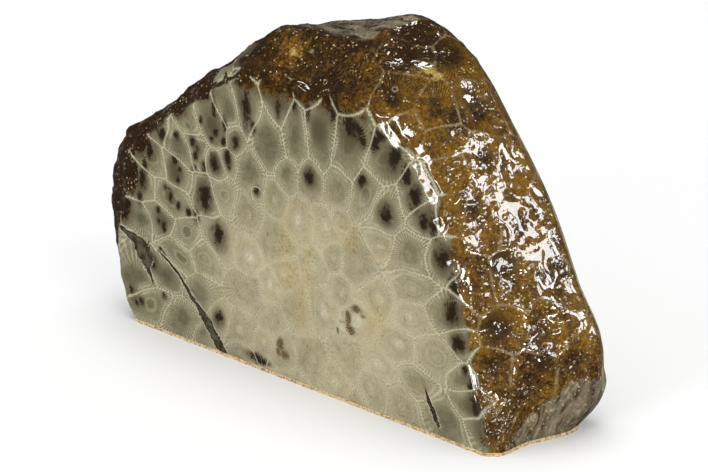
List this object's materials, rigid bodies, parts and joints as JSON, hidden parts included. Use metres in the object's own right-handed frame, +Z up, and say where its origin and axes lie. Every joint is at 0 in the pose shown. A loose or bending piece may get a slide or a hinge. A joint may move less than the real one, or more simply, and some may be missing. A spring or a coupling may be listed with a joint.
{
  "type": "petoskey stone",
  "caption": "Fossil coral stone, cut and polished flat on its front and back, natural rind round the edge, standing on a thin cork sheet.",
  "frame": {"origin": "middle of the bounding box on the underside of the cork", "axes": "+X along the polished front face to the right, +Y from the front face to the back face, +Z up"},
  "size_m": [0.1523, 0.036, 0.0941],
  "materials": {
    "stone": "polished limestone, glossy; brown rind under a clear coat",
    "cork": "matt granular cork"
  },
  "bodies": {
    "root": {"stone": "stone", "cork_pad": "cork"}
  },
  "joints": []
}
